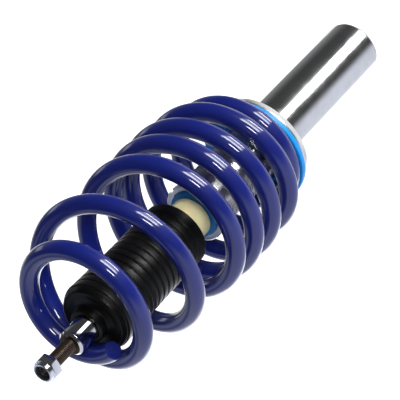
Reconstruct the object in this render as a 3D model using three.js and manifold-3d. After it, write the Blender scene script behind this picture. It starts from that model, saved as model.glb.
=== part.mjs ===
// Coilover front strut: a clamp-in damper tube with a threaded upper half, a screw-adjusted
// spring perch, a barrel-shaped coil spring, a gas-charged piston rod and a dust boot.
// Millimetres, +Z up along the strut axis, origin at the centre of the tube's bottom face.

import * as THREE from 'three';
import { mergeVertices } from 'three/addons/utils/BufferGeometryUtils.js';
import Module from 'manifold-3d';

const wasm = await Module();
wasm.setup();

// ---------------------------------------------------------------- driving dimensions

const GAP = 0.3; // clearance between pieces that touch on the real object
const FIT = 0.4; // radial clearance between round pieces that sit one inside the other
const OVERCUT = 1; // how far a cutter runs past the surface it cuts
const ROUND_SIDES = 30; // facets on large round pieces
const INNER_SIDES = 24; // facets on the rings inside the tube
const SMALL_SIDES = 24; // facets on the rod and other small round pieces
const PORT_SIDES = 8; // facets in an oil port

// Damper tube
const TUBE_RADIUS = 25;
const TUBE_WALL = 2.5;
const TUBE_TOP = 250;
const TUBE_BORE = TUBE_RADIUS - TUBE_WALL;
const TUBE_EDGE = 5; // rounding of the spun bottom edge
const THREAD_START = 140; // the tube is plain below this height
const THREAD_RADIUS = 24.7; // mean radius of the fine thread
const BASE_PLUG_HEIGHT = 8;

// Pressure tube and foot valve
const BORE_RADIUS = 17.5;
const PRESSURE_TUBE_RADIUS = 19;
const PRESSURE_TUBE_BOTTOM = 22.3;
const PRESSURE_TUBE_TOP = 230.6;
const VALVE_FLANGE_BOTTOM = 16;
const VALVE_FLANGE_TOP = 22;
const VALVE_SPIGOT_TOP = 28;
const VALVE_SPIGOT_RADIUS = 17.1;
const VALVE_SKIRT_RADIUS = 16;
const VALVE_SKIRT_BORE = 12;
const VALVE_CENTRE_BORE = 3.4;
const VALVE_SLOTS = 4; // oil passages through the skirt
const VALVE_SLOT_WIDTH = 8;
const VALVE_SLOT_START = 5; // the slots are cut outwards from this radius
const VALVE_PORTS = 6;
const VALVE_PORT_CIRCLE = 9.5;
const VALVE_PORT_RADIUS = 1.6;
const VALVE_DISC_RADIUS = 12.5;
const RIVET_RADIUS = 3;
const RIVET_HEAD_RADIUS = 5.5;
const RIVET_HEAD_HEIGHT = 2;

// Piston rod
const ROD_RADIUS = 11;
const ROD_BORE = ROD_RADIUS + FIT; // bore of the rings that the rod passes through
const ROD_SHOULDER = 431.7;
const ROD_CHAMFER = 1.8;
const ROD_LOWER_CHAMFER = 0.8;
const STUD_RADIUS = 5.8;
const STUD_CHAMFER = 1;
const STUD_TOP = 463.3;
const TENON_RADIUS = 5; // reduced lower end that carries the piston
const TENON_BOTTOM = 135;
const TENON_TOP = 159.4;
const TENON_BORE = TENON_RADIUS + FIT; // bore of the pieces stacked on the tenon

// Piston and its shim stacks
const PISTON_BOTTOM = 146;
const PISTON_TOP = 158;
const PISTON_RADIUS = 16.9;
const BAND_RADIUS = 17.15;
const BAND_THICKNESS = 0.95;
const BAND_SPLIT = 0.8;
const PISTON_LIP = 1.6; // height of the rims above and below the band's groove
const SHIM_THICKNESS = 0.7;
const SHIM_RADIUS = 13.6;
const PISTON_PORTS = 6;
const PISTON_PORT_CIRCLE = 10.5;
const PISTON_PORT_RADIUS = 1.8;
const PISTON_NUT_ACROSS_FLATS = 17;
const PISTON_NUT_HEIGHT = 7.6;

// Rebound stop on the rod
const STOP_RING_BOTTOM = 212;
const STOP_RING_TOP = 218.7;
const STOP_RING_RADIUS = 14.5;
const STOP_BUFFER_TOP = 225.4;
const STOP_BUFFER_FOOT_RADIUS = 15.5;
const STOP_BUFFER_RADIUS = 16;
const STOP_BUFFER_TOP_RADIUS = 15;
const STOP_BUFFER_FOOT_HEIGHT = 2;

// Rod guide and seal
const GUIDE_BOTTOM = 226;
const GUIDE_FLANGE_BOTTOM = 231;
const GUIDE_TOP = 241;
const BUSH_RADIUS = 13.1;
const BUSH_INSET = 1; // the bush ends this far inside the guide's ends
const SEAL_TOP = 247;
const SEAL_RADIUS = 21.6;
const SEAL_LIP_HEIGHT = 2;
const SEAL_LIP_FOOT_RADIUS = 17;
const SEAL_LIP_RADIUS = 15;

// Gland nut, its plastic cap and the bump stop on it
const GLAND_SKIRT_BOTTOM = 247.3;
const GLAND_FLANGE_BOTTOM = 250.3;
const GLAND_RECESS_FLOOR = 251.3;
const GLAND_TOP = 255.5;
const GLAND_RADIUS = 26.8;
const GLAND_BORE = 18;
const GLAND_CHAMFER = 1;
const GLAND_NOTCHES = 6;
const GLAND_NOTCH_WIDTH = 5;
const GLAND_NOTCH_DEPTH = 1.6;
const CAP_RADIUS = 21.5;
const CAP_TOP = 258.3;
const CAP_CHAMFER = 1.5;
const BUMP_STOP_BOTTOM = CAP_TOP + GAP;
const BUMP_STOP_TOP = 303;
const BUMP_STOP_RADIUS = 17.8;
const BUMP_STOP_FOOT_RADIUS = 16.6;
const BUMP_STOP_BULGE_RADIUS = 17.2;
const BUMP_STOP_WAIST_RADIUS = 15.4;
const BUMP_STOP_TIP_RADIUS = 13.4;
const BUMP_STOP_FOOT_HEIGHT = 3;
const BUMP_STOP_BODY_HEIGHT = 22;
const BUMP_STOP_WAIST_HEIGHT = 26;
const BUMP_STOP_BULGE_HEIGHT = 31;
const BUMP_STOP_TIP_HEIGHT = 4;

// Dust boot
const BOOT_BOTTOM = 283.5;
const BOOT_RADIUS = 29; // at the open lower end; the boot widens slightly towards the top
const BOOT_TOP_RADIUS = 30.8;
const BOOT_WALL = 1.6;
const BOOT_SHOULDER = 395;
const BOOT_SHOULDER_EDGE = { radius: 29.3, height: 397.5 };
const BOOT_RIDGE = { radius: 27, height: 401.5 }; // highest ring of the boot's top face
const BOOT_DISH = { radius: 21, height: 400.6 }; // lowest ring of the dished top face
const BOOT_NECK_RADIUS = 15.2;
const BOOT_NECK_FOOT = 403;
const BOOT_NECK_TOP = 409.5;

// Spring perch: threaded collar and plastic seat
const COLLAR_BOTTOM = 142;
const COLLAR_BORE = 25.3;
const COLLAR_SLEEVE_RADIUS = 30;
const COLLAR_CHAMFER = 0.8;
const COLLAR_FILLET = { radius: 31, height: 0.5 }; // between the sleeve and the flange
const COLLAR_NOTCHES = 8;
const COLLAR_NOTCH_WIDTH = 7;
const COLLAR_NOTCH_DEPTH = 2.6;
const COLLAR_NOTCH_HEIGHT = 8;
const FLANGE_BOTTOM = 155.2;
const FLANGE_TOP = 162.4;
const FLANGE_BACK_RADIUS = 46.2;
const FLANGE_RADIUS = 48.2;
const FLANGE_CHAMFER = 1;
const FLANGE_TOP_RADIUS = 47.6;
const SEAT_BORE = 25.8;
const SEAT_RADIUS = 48.6;
const SEAT_CHAMFER = 0.6;
const SEAT_RIM_CHAMFER = 1.5;
const SEAT_FLOOR = 167.2;
const SEAT_HUB_RADIUS = 30.5;
const SEAT_HUB_TOP = 169.5;
const SET_SCREW_RADIUS = 2.5;
const SET_SCREW_SIDES = 12;
const SET_SCREW_INSET = 0.5; // the screw's outer end lies this far below the sleeve's surface
const SET_SCREW_HEIGHT = 152.4;
const SET_SCREW_ANGLE = 90; // degrees round the collar from +X

// Coil spring
const WIRE_RADIUS = 8;
const WIRE_SIDES = 8;
const STEPS_PER_TURN = 24;
const SPRING_START_ANGLE = 220; // degrees from +X where turn 0 would be
const SPRING_FIRST_TURN = 0.14; // the top end of the wire is cut off square here
const SPRING_LAST_TURN = 7.25;
const SPRING_SPLIT_TURN = 1; // above this turn the wire belongs to the spring's top end
const SPRING_FOOT = { x: 4.5, y: 3.5 }; // where the spring's own axis starts, beside the strut's axis
const SPRING_LEAN = { x: 0.045, y: -0.07 }; // sideways shift of that axis per millimetre of height
const SPRING_SEATED_HEIGHT = 175.5; // the wire's centre where it lies on the seat
const SPRING_FREE_HEIGHT = 200; // from here upwards the turns lie square to the leaning axis
// Turns counted from the top, with the height and the coil radius at each
const SPRING_STATIONS = [
  { turn: 0, height: 408.5, radius: 42.5 },
  { turn: 0.5, height: 408.5, radius: 47 },
  { turn: 1, height: 403.5, radius: 54 },
  { turn: 1.5, height: 374.5, radius: 62.5 },
  { turn: 2, height: 345.5, radius: 63.5 },
  { turn: 2.5, height: 310.5, radius: 62 },
  { turn: 3, height: 285.5, radius: 63.5 },
  { turn: 3.5, height: 272, radius: 62 },
  { turn: 4, height: 258, radius: 63.5 },
  { turn: 4.5, height: 246.5, radius: 63 },
  { turn: 5, height: 229.5, radius: 62 },
  { turn: 5.5, height: 218, radius: 61.5 },
  { turn: 6, height: 198, radius: 59 },
  { turn: 6.25, height: 192, radius: 57.5 },
  { turn: 6.5, height: 184.5, radius: 55.5 },
  { turn: 6.75, height: 177, radius: 51.5 },
  { turn: 7, height: 175.6, radius: 47.5 },
  { turn: 7.25, height: SPRING_SEATED_HEIGHT, radius: 41 },
];

// Lock nut on the stud
const NUT_BOTTOM = 456.7;
const NUT_HEX_TOP = 464.3;
const NUT_TOP = 468;
const NUT_ACROSS_FLATS = 19;
const NUT_CHAMFER_RADIUS = 11.1; // just outside the corners
const NUT_CHAMFER_HEIGHT = 0.9;
const NUT_BOTTOM_CHAMFER_HEIGHT = 0.6;
const NUT_SHOULDER_RADIUS = 9.1;
const NUT_COLLAR_RADIUS = 8.6;
const NUT_COLLAR_CHAMFER = 1;
const NUT_BORE = 6.2;
const NUT_MOUTH_RADIUS = 6.8;
const NYLON_BOTTOM = 464.6;
const NYLON_TOP = 466.6;
const NYLON_RADIUS = 7.4;

// ---------------------------------------------------------------- materials

const metal = (color, roughness) => new THREE.MeshStandardMaterial({ color, roughness, metalness: 1 });
const plain = (color, roughness) => new THREE.MeshStandardMaterial({ color, roughness, metalness: 0 });

const zincTube = metal(0xc9ccce, 0.28);
const zincRing = metal(0xd4d7d8, 0.3);
const darkSteel = metal(0x6d7074, 0.45);
const sinteredIron = metal(0x55575a, 0.6);
const springSteel = metal(0x9a9da1, 0.3);
const hardChrome = metal(0xe6e8ea, 0.08);
const bluePowderCoat = plain(0x1e2870, 0.2);
const azurePlastic = plain(0x1f8fe0, 0.35);
const bluePlastic = plain(0x14649f, 0.4);
const creamFoam = plain(0xe9dfb4, 0.8);
const blackRubber = plain(0x161616, 0.6);
const blackNitrile = plain(0x1c1c1c, 0.5);
const bronzePtfe = plain(0x8a6f4a, 0.5);
const whiteNylon = plain(0xdfe3ea, 0.5);

// ---------------------------------------------------------------- geometry helpers

const radians = THREE.MathUtils.degToRad;

/** Volume of a closed indexed geometry: positive when its faces point out. */
function signedVolume(geometry) {
  const position = geometry.attributes.position;
  const index = geometry.index.array;
  const [a, b, c] = [new THREE.Vector3(), new THREE.Vector3(), new THREE.Vector3()];
  let total = 0;
  for (let i = 0; i < index.length; i += 3) {
    a.fromBufferAttribute(position, index[i]);
    b.fromBufferAttribute(position, index[i + 1]);
    c.fromBufferAttribute(position, index[i + 2]);
    total += a.dot(b.cross(c)) / 6;
  }
  return total;
}

/** Shares vertices, drops collapsed triangles and turns the faces outwards. */
function closed(geometry) {
  geometry.deleteAttribute('normal');
  geometry.deleteAttribute('uv');
  const merged = mergeVertices(geometry, 1e-4);
  const index = merged.index.array;
  const kept = [];
  for (let i = 0; i < index.length; i += 3) {
    const [a, b, c] = [index[i], index[i + 1], index[i + 2]];
    if (a !== b && b !== c && c !== a) kept.push(a, b, c);
  }
  merged.setIndex(kept);
  if (signedVolume(merged) < 0) {
    for (let i = 0; i < kept.length; i += 3) [kept[i + 1], kept[i + 2]] = [kept[i + 2], kept[i + 1]];
    merged.setIndex(kept);
  }
  merged.computeVertexNormals();
  return merged;
}

/** Revolves an outline of [radius, height] points round the Z axis. */
function turned(outline, sides = ROUND_SIDES) {
  const points = outline.map(([radius, height]) => new THREE.Vector2(radius, height));
  const onAxis = outline[0][0] === 0 && outline[outline.length - 1][0] === 0;
  if (!onAxis) points.push(points[0].clone());
  const geometry = new THREE.LatheGeometry(points, sides);
  geometry.rotateX(Math.PI / 2);
  return closed(geometry);
}

/** Points of a round stretch of an outline, angles in degrees from outwards towards up. */
function arc(centreRadius, centreHeight, radius, from, to, steps) {
  const points = [];
  for (let i = 0; i <= steps; i += 1) {
    const angle = radians(from + ((to - from) * i) / steps);
    points.push([centreRadius + radius * Math.cos(angle), centreHeight + radius * Math.sin(angle)]);
  }
  return points;
}

/** A plain ring between two radii and two heights. */
function ring(inner, outer, bottom, top, sides = ROUND_SIDES) {
  return turned([[inner, bottom], [outer, bottom], [outer, top], [inner, top]], sides);
}

/** A solid round bar on the Z axis. */
function bar(radius, bottom, top, sides = SMALL_SIDES) {
  return turned([[0, bottom], [radius, bottom], [radius, top], [0, top]], sides);
}

/** A hexagonal bar on the Z axis. */
function hexBar(acrossFlats, bottom, top) {
  return bar(acrossFlats / 2 / Math.cos(Math.PI / 6), bottom, top, 6);
}

function toManifold(geometry) {
  return new wasm.Manifold(new wasm.Mesh({
    numProp: 3,
    vertProperties: new Float32Array(geometry.attributes.position.array),
    triVerts: new Uint32Array(geometry.index.array),
  }));
}

function fromManifold(solid) {
  const mesh = solid.getMesh();
  const geometry = new THREE.BufferGeometry();
  geometry.setAttribute('position', new THREE.BufferAttribute(mesh.vertProperties, 3));
  geometry.setIndex(new THREE.BufferAttribute(mesh.triVerts, 1));
  geometry.computeVertexNormals();
  return geometry;
}

/** The base with every tool cut away from it. */
function cut(base, tools) {
  let solid = toManifold(base);
  for (const tool of tools) solid = solid.subtract(toManifold(tool));
  return fromManifold(solid);
}

/** What the base and the other solid have in common. */
function common(base, other) {
  return fromManifold(toManifold(base).intersect(toManifold(other)));
}

/** Copies of a cutter spaced evenly round the Z axis. */
function roundTheAxis(count, makeCutter, firstAngle = 0) {
  const copies = [];
  for (let i = 0; i < count; i += 1) {
    const cutter = makeCutter();
    cutter.rotateZ(radians(firstAngle + (360 * i) / count));
    copies.push(cutter);
  }
  return copies;
}

/** A box that cuts a radial notch of the given width inwards to the given radius. */
function notchCutter(width, floorRadius, bottom, top) {
  const reach = TUBE_RADIUS;
  const box = new THREE.BoxGeometry(reach, width, top - bottom);
  box.translate(floorRadius + reach / 2, 0, (bottom + top) / 2);
  return closed(box);
}

/** Cutters for a ring of round ports parallel to the Z axis. */
function portCutters(count, circle, radius, bottom, top) {
  return roundTheAxis(count, () => {
    const port = bar(radius, bottom, top, PORT_SIDES);
    port.translate(circle, 0, 0);
    return port;
  });
}

/** Smooth value through the spring's stations at a turn, level at both ends. */
function stationValue(key, turn) {
  const stations = SPRING_STATIONS;
  const last = stations.length - 1;
  const slope = (i) => {
    if (i === 0 || i === last) return 0;
    return (stations[i + 1][key] - stations[i - 1][key]) / (stations[i + 1].turn - stations[i - 1].turn);
  };
  let i = 0;
  while (i < last - 1 && turn > stations[i + 1].turn) i += 1;
  const span = stations[i + 1].turn - stations[i].turn;
  const t = (turn - stations[i].turn) / span;
  const rise = 3 * t * t - 2 * t * t * t;
  const startPull = (t * t * t - 2 * t * t + t) * span * slope(i);
  const endPull = (t * t * t - t * t) * span * slope(i + 1);
  return stations[i][key] + (stations[i + 1][key] - stations[i][key]) * rise + startPull + endPull;
}

/**
 * Centre of the spring wire at a turn. The spring leans towards +X and -Y as it rises, and
 * its free turns tip over with its leaning axis.
 */
function springPoint(turn) {
  const height = stationValue('height', turn);
  const radius = stationValue('radius', turn);
  const angle = radians(SPRING_START_ANGLE - 360 * turn);
  const x = radius * Math.cos(angle);
  const y = radius * Math.sin(angle);
  const rise = height - SPRING_SEATED_HEIGHT;
  const freeShare = THREE.MathUtils.smoothstep(height, SPRING_SEATED_HEIGHT, SPRING_FREE_HEIGHT);
  return new THREE.Vector3(
    SPRING_FOOT.x + x + SPRING_LEAN.x * rise,
    SPRING_FOOT.y + y + SPRING_LEAN.y * rise,
    height - freeShare * (SPRING_LEAN.x * x + SPRING_LEAN.y * y),
  );
}

/** A length of the spring wire, cut off square at both ends. */
function springWire(firstTurn, lastTurn) {
  const steps = Math.ceil((lastTurn - firstTurn) * STEPS_PER_TURN);
  const positions = [];
  const index = [];
  const tiny = 1e-3;
  for (let i = 0; i <= steps; i += 1) {
    const turn = firstTurn + ((lastTurn - firstTurn) * i) / steps;
    const centre = springPoint(turn);
    const tangent = springPoint(turn + tiny).sub(springPoint(turn - tiny)).normalize();
    const side = new THREE.Vector3(0, 0, 1).cross(tangent).normalize();
    const up = tangent.clone().cross(side);
    for (let j = 0; j < WIRE_SIDES; j += 1) {
      const angle = (2 * Math.PI * j) / WIRE_SIDES;
      const point = centre.clone();
      point.addScaledVector(side, WIRE_RADIUS * Math.cos(angle));
      point.addScaledVector(up, WIRE_RADIUS * Math.sin(angle));
      positions.push(point.x, point.y, point.z);
    }
  }
  for (let i = 0; i < steps; i += 1) {
    for (let j = 0; j < WIRE_SIDES; j += 1) {
      const a = i * WIRE_SIDES + j;
      const b = i * WIRE_SIDES + ((j + 1) % WIRE_SIDES);
      index.push(a, b, b + WIRE_SIDES, a, b + WIRE_SIDES, a + WIRE_SIDES);
    }
  }
  const lastRing = steps * WIRE_SIDES;
  for (let j = 1; j < WIRE_SIDES - 1; j += 1) {
    index.push(0, j + 1, j);
    index.push(lastRing, lastRing + j, lastRing + j + 1);
  }
  const geometry = new THREE.BufferGeometry();
  geometry.setAttribute('position', new THREE.Float32BufferAttribute(positions, 3));
  geometry.setIndex(index);
  return closed(geometry);
}

// ---------------------------------------------------------------- damper tube and its bottom

function housingTube() {
  const edgeCentre = TUBE_RADIUS - TUBE_EDGE;
  return turned([
    ...arc(edgeCentre, TUBE_EDGE, TUBE_EDGE, -90, 0, 5),
    [TUBE_RADIUS, THREAD_START],
    [THREAD_RADIUS, THREAD_START + GAP],
    [THREAD_RADIUS, TUBE_TOP],
    [TUBE_BORE, TUBE_TOP],
    ...arc(edgeCentre, TUBE_EDGE, TUBE_EDGE - TUBE_WALL, 0, -90, 4),
  ]);
}

function basePlug() {
  const discRadius = TUBE_RADIUS - TUBE_EDGE - FIT;
  const shoulder = TUBE_EDGE + GAP;
  const innerRadius = TUBE_BORE - FIT;
  return turned([
    [0, 0],
    [discRadius, 0],
    [discRadius, shoulder],
    [innerRadius, shoulder],
    [innerRadius, BASE_PLUG_HEIGHT],
    [0, BASE_PLUG_HEIGHT],
  ]);
}

// ---------------------------------------------------------------- pressure tube and foot valve

function pressureTube() {
  return ring(BORE_RADIUS, PRESSURE_TUBE_RADIUS, PRESSURE_TUBE_BOTTOM, PRESSURE_TUBE_TOP, INNER_SIDES);
}

function footValveBody() {
  const bottom = BASE_PLUG_HEIGHT + GAP;
  const body = turned([
    [VALVE_SKIRT_BORE, bottom],
    [VALVE_SKIRT_RADIUS, bottom],
    [VALVE_SKIRT_RADIUS, VALVE_FLANGE_BOTTOM],
    [PRESSURE_TUBE_RADIUS, VALVE_FLANGE_BOTTOM],
    [PRESSURE_TUBE_RADIUS, VALVE_FLANGE_TOP],
    [VALVE_SPIGOT_RADIUS, VALVE_FLANGE_TOP],
    [VALVE_SPIGOT_RADIUS, VALVE_SPIGOT_TOP],
    [VALVE_CENTRE_BORE, VALVE_SPIGOT_TOP],
    [VALVE_CENTRE_BORE, VALVE_FLANGE_BOTTOM],
    [VALVE_SKIRT_BORE, VALVE_FLANGE_BOTTOM],
  ], INNER_SIDES);
  const slotTop = VALVE_FLANGE_BOTTOM - OVERCUT;
  const slots = roundTheAxis(VALVE_SLOTS, () => notchCutter(
    VALVE_SLOT_WIDTH,
    VALVE_SLOT_START,
    bottom - OVERCUT,
    slotTop,
  ));
  const ports = portCutters(
    VALVE_PORTS,
    VALVE_PORT_CIRCLE,
    VALVE_PORT_RADIUS,
    VALVE_FLANGE_BOTTOM - OVERCUT,
    VALVE_SPIGOT_TOP + OVERCUT,
  );
  return cut(body, [...slots, ...ports]);
}

function footValveDisc() {
  const bottom = VALVE_SPIGOT_TOP + GAP;
  return ring(VALVE_CENTRE_BORE, VALVE_DISC_RADIUS, bottom, bottom + SHIM_THICKNESS, INNER_SIDES);
}

function footValveRivet() {
  const discTop = VALVE_SPIGOT_TOP + GAP + SHIM_THICKNESS + GAP;
  const underside = VALVE_FLANGE_BOTTOM - GAP;
  return turned([
    [0, underside - RIVET_HEAD_HEIGHT],
    [RIVET_HEAD_RADIUS, underside - RIVET_HEAD_HEIGHT],
    [RIVET_HEAD_RADIUS, underside],
    [RIVET_RADIUS, underside],
    [RIVET_RADIUS, discTop],
    [RIVET_HEAD_RADIUS, discTop],
    [RIVET_HEAD_RADIUS, discTop + RIVET_HEAD_HEIGHT],
    [0, discTop + RIVET_HEAD_HEIGHT],
  ], SMALL_SIDES);
}

// ---------------------------------------------------------------- rod guide, bush and seal

function rodGuide() {
  const bore = BUSH_RADIUS + GAP;
  const outer = TUBE_BORE - FIT;
  return turned([
    [bore, GUIDE_BOTTOM],
    [VALVE_SPIGOT_RADIUS, GUIDE_BOTTOM],
    [VALVE_SPIGOT_RADIUS, GUIDE_FLANGE_BOTTOM],
    [outer, GUIDE_FLANGE_BOTTOM],
    [outer, GUIDE_TOP],
    [bore, GUIDE_TOP],
  ], INNER_SIDES);
}

function guideBush() {
  return ring(ROD_BORE, BUSH_RADIUS, GUIDE_BOTTOM + BUSH_INSET, GUIDE_TOP - BUSH_INSET, INNER_SIDES);
}

function rodSeal() {
  const bottom = GUIDE_TOP + GAP;
  const lipFoot = SEAL_TOP - SEAL_LIP_HEIGHT;
  return turned([
    [ROD_BORE, bottom],
    [SEAL_RADIUS, bottom],
    [SEAL_RADIUS, lipFoot],
    [SEAL_LIP_FOOT_RADIUS, lipFoot],
    [SEAL_LIP_RADIUS, SEAL_TOP],
    [ROD_BORE, SEAL_TOP],
  ], INNER_SIDES);
}

// ---------------------------------------------------------------- gland nut, cap and bump stop

function glandNut() {
  const skirtRadius = TUBE_BORE - FIT;
  const recessRadius = CAP_RADIUS + GAP;
  const body = turned([
    [GLAND_BORE, GLAND_SKIRT_BOTTOM],
    [skirtRadius, GLAND_SKIRT_BOTTOM],
    [skirtRadius, GLAND_FLANGE_BOTTOM],
    [GLAND_RADIUS, GLAND_FLANGE_BOTTOM],
    [GLAND_RADIUS, GLAND_TOP - GLAND_CHAMFER],
    [GLAND_RADIUS - GLAND_CHAMFER, GLAND_TOP],
    [recessRadius, GLAND_TOP],
    [recessRadius, GLAND_RECESS_FLOOR],
    [GLAND_BORE, GLAND_RECESS_FLOOR],
  ]);
  const notches = roundTheAxis(GLAND_NOTCHES, () => notchCutter(
    GLAND_NOTCH_WIDTH,
    GLAND_RADIUS - GLAND_NOTCH_DEPTH,
    GLAND_FLANGE_BOTTOM - OVERCUT,
    GLAND_TOP + OVERCUT,
  ));
  return cut(body, notches);
}

function glandCap() {
  const bottom = GLAND_RECESS_FLOOR + GAP;
  return turned([
    [ROD_BORE, bottom],
    [CAP_RADIUS, bottom],
    [CAP_RADIUS, CAP_TOP - CAP_CHAMFER],
    [CAP_RADIUS - CAP_CHAMFER, CAP_TOP],
    [ROD_BORE, CAP_TOP],
  ]);
}

function bumpStop() {
  return turned([
    [ROD_BORE, BUMP_STOP_BOTTOM],
    [BUMP_STOP_FOOT_RADIUS, BUMP_STOP_BOTTOM],
    [BUMP_STOP_RADIUS, BUMP_STOP_BOTTOM + BUMP_STOP_FOOT_HEIGHT],
    [BUMP_STOP_RADIUS, BUMP_STOP_BOTTOM + BUMP_STOP_BODY_HEIGHT],
    [BUMP_STOP_WAIST_RADIUS, BUMP_STOP_BOTTOM + BUMP_STOP_WAIST_HEIGHT],
    [BUMP_STOP_BULGE_RADIUS, BUMP_STOP_BOTTOM + BUMP_STOP_BULGE_HEIGHT],
    [BUMP_STOP_WAIST_RADIUS, BUMP_STOP_TOP - BUMP_STOP_TIP_HEIGHT],
    [BUMP_STOP_TIP_RADIUS, BUMP_STOP_TOP],
    [ROD_BORE, BUMP_STOP_TOP],
  ]);
}

// ---------------------------------------------------------------- piston rod and what is on it

function pistonRod() {
  return turned([
    [0, TENON_BOTTOM],
    [TENON_RADIUS, TENON_BOTTOM],
    [TENON_RADIUS, TENON_TOP],
    [ROD_RADIUS - ROD_LOWER_CHAMFER, TENON_TOP],
    [ROD_RADIUS, TENON_TOP + ROD_LOWER_CHAMFER],
    [ROD_RADIUS, ROD_SHOULDER - ROD_CHAMFER],
    [ROD_RADIUS - ROD_CHAMFER, ROD_SHOULDER],
    [STUD_RADIUS, ROD_SHOULDER],
    [STUD_RADIUS, STUD_TOP - STUD_CHAMFER],
    [STUD_RADIUS - STUD_CHAMFER, STUD_TOP],
    [0, STUD_TOP],
  ], SMALL_SIDES);
}

function piston() {
  const groove = BAND_RADIUS - BAND_THICKNESS - FIT;
  const body = turned([
    [TENON_BORE, PISTON_BOTTOM],
    [PISTON_RADIUS, PISTON_BOTTOM],
    [PISTON_RADIUS, PISTON_BOTTOM + PISTON_LIP],
    [groove, PISTON_BOTTOM + PISTON_LIP],
    [groove, PISTON_TOP - PISTON_LIP],
    [PISTON_RADIUS, PISTON_TOP - PISTON_LIP],
    [PISTON_RADIUS, PISTON_TOP],
    [TENON_BORE, PISTON_TOP],
  ], INNER_SIDES);
  return cut(body, portCutters(
    PISTON_PORTS,
    PISTON_PORT_CIRCLE,
    PISTON_PORT_RADIUS,
    PISTON_BOTTOM - OVERCUT,
    PISTON_TOP + OVERCUT,
  ));
}

/** Split sealing band in the piston's groove. */
function pistonBand() {
  const inner = BAND_RADIUS - BAND_THICKNESS;
  const bottom = PISTON_BOTTOM + PISTON_LIP + GAP;
  const top = PISTON_TOP - PISTON_LIP - GAP;
  const split = notchCutter(BAND_SPLIT, inner - OVERCUT, bottom - OVERCUT, top + OVERCUT);
  return cut(ring(inner, BAND_RADIUS, bottom, top, INNER_SIDES), [split]);
}

function reboundShims() {
  const bottom = PISTON_TOP + GAP;
  return ring(TENON_BORE, SHIM_RADIUS, bottom, bottom + SHIM_THICKNESS, INNER_SIDES);
}

function compressionShims() {
  const top = PISTON_BOTTOM - GAP;
  return ring(TENON_BORE, SHIM_RADIUS, top - SHIM_THICKNESS, top, INNER_SIDES);
}

function pistonNut() {
  const top = PISTON_BOTTOM - GAP - SHIM_THICKNESS - GAP;
  const bottom = top - PISTON_NUT_HEIGHT;
  const bore = bar(TENON_BORE, bottom - OVERCUT, top + OVERCUT);
  return cut(hexBar(PISTON_NUT_ACROSS_FLATS, bottom, top), [bore]);
}

function reboundStopRing() {
  return ring(ROD_BORE, STOP_RING_RADIUS, STOP_RING_BOTTOM, STOP_RING_TOP, INNER_SIDES);
}

function reboundBuffer() {
  const bottom = STOP_RING_TOP + GAP;
  return turned([
    [ROD_BORE, bottom],
    [STOP_BUFFER_FOOT_RADIUS, bottom],
    [STOP_BUFFER_RADIUS, bottom + STOP_BUFFER_FOOT_HEIGHT],
    [STOP_BUFFER_TOP_RADIUS, STOP_BUFFER_TOP],
    [ROD_BORE, STOP_BUFFER_TOP],
  ], INNER_SIDES);
}

// ---------------------------------------------------------------- dust boot

/** Open below, dished on top, with a neck that fits round the rod. */
function dustBoot() {
  const outside = [
    [BOOT_RADIUS, BOOT_BOTTOM],
    [BOOT_TOP_RADIUS, BOOT_SHOULDER],
    [BOOT_SHOULDER_EDGE.radius, BOOT_SHOULDER_EDGE.height],
    [BOOT_RIDGE.radius, BOOT_RIDGE.height],
    [BOOT_DISH.radius, BOOT_DISH.height],
  ];
  const inside = [
    [BOOT_DISH.radius, BOOT_DISH.height - BOOT_WALL],
    [BOOT_RIDGE.radius - BOOT_WALL / 2, BOOT_RIDGE.height - BOOT_WALL],
    [BOOT_TOP_RADIUS - BOOT_WALL, BOOT_SHOULDER],
    [BOOT_RADIUS - BOOT_WALL, BOOT_BOTTOM],
  ];
  return turned([
    ...outside,
    [BOOT_NECK_RADIUS, BOOT_NECK_FOOT],
    [BOOT_NECK_RADIUS, BOOT_NECK_TOP],
    [ROD_BORE, BOOT_NECK_TOP],
    [ROD_BORE, BOOT_NECK_FOOT - BOOT_WALL],
    ...inside,
  ]);
}

// ---------------------------------------------------------------- spring perch

function setScrewCutter(radius, innerRadius, outerRadius) {
  const screw = bar(radius, innerRadius, outerRadius, SET_SCREW_SIDES);
  screw.rotateY(Math.PI / 2);
  screw.rotateZ(radians(SET_SCREW_ANGLE));
  screw.translate(0, 0, SET_SCREW_HEIGHT);
  return screw;
}

function perchCollar() {
  const body = turned([
    [COLLAR_BORE, COLLAR_BOTTOM],
    [COLLAR_SLEEVE_RADIUS - COLLAR_CHAMFER, COLLAR_BOTTOM],
    [COLLAR_SLEEVE_RADIUS, COLLAR_BOTTOM + COLLAR_CHAMFER],
    [COLLAR_SLEEVE_RADIUS, FLANGE_BOTTOM - COLLAR_FILLET.height],
    [COLLAR_FILLET.radius, FLANGE_BOTTOM],
    [FLANGE_BACK_RADIUS, FLANGE_BOTTOM],
    [FLANGE_RADIUS, FLANGE_TOP - FLANGE_CHAMFER],
    [FLANGE_TOP_RADIUS, FLANGE_TOP],
    [COLLAR_BORE, FLANGE_TOP],
  ]);
  const notches = roundTheAxis(COLLAR_NOTCHES, () => notchCutter(
    COLLAR_NOTCH_WIDTH,
    COLLAR_SLEEVE_RADIUS - COLLAR_NOTCH_DEPTH,
    COLLAR_BOTTOM - OVERCUT,
    COLLAR_BOTTOM + COLLAR_NOTCH_HEIGHT,
  ), 180 / COLLAR_NOTCHES);
  const screwHole = setScrewCutter(
    SET_SCREW_RADIUS + GAP,
    COLLAR_BORE - OVERCUT,
    COLLAR_SLEEVE_RADIUS + OVERCUT,
  );
  return cut(body, [...notches, screwHole]);
}

function perchSetScrew() {
  return setScrewCutter(SET_SCREW_RADIUS, COLLAR_BORE + GAP, COLLAR_SLEEVE_RADIUS - SET_SCREW_INSET);
}

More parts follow.
